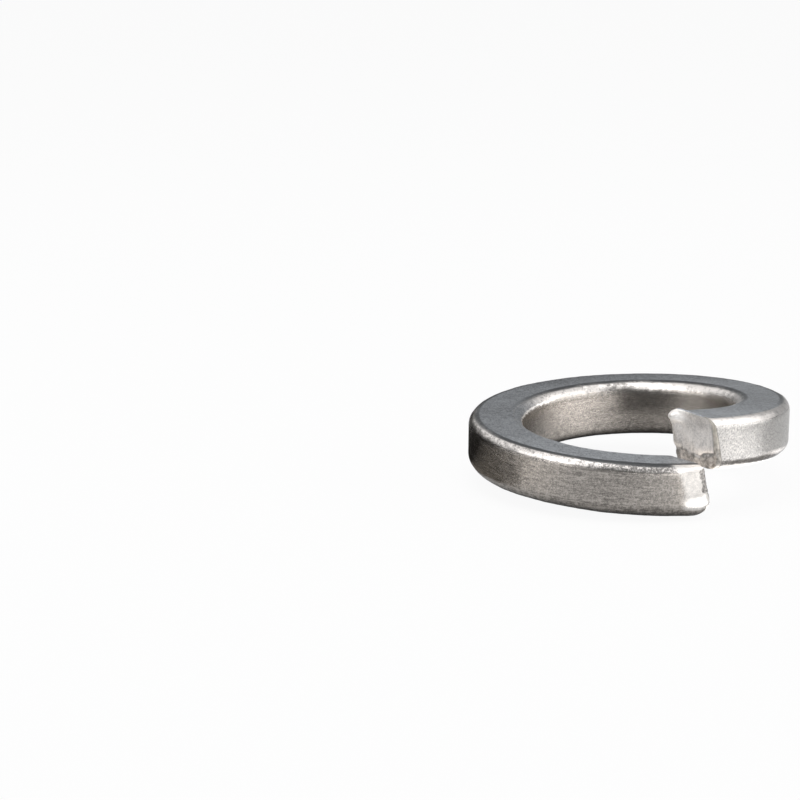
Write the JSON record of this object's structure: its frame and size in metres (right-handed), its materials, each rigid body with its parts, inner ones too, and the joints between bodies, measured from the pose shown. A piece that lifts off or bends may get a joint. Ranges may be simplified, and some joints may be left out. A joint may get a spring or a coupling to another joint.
{
  "type": "spring lock washer",
  "caption": "Split spring lock washer: one turn of square steel wire, coiled left-handed, with sheared ends standing one above the other.",
  "frame": {"origin": "on the bore's axis, level with the lowest corner of the washer", "axes": "+Z along the bore's axis; the coil rises clockwise about it, from the lower end at 69 degrees clockwise of +X; -Y is the side seen in the picture"},
  "size_m": [0.0156, 0.0156, 0.0049],
  "materials": {
    "steel": "bare spring steel, lightly brushed along the wire, matt on top and bottom"
  },
  "bodies": {
    "root": {"lock_washer": "steel"}
  },
  "joints": []
}
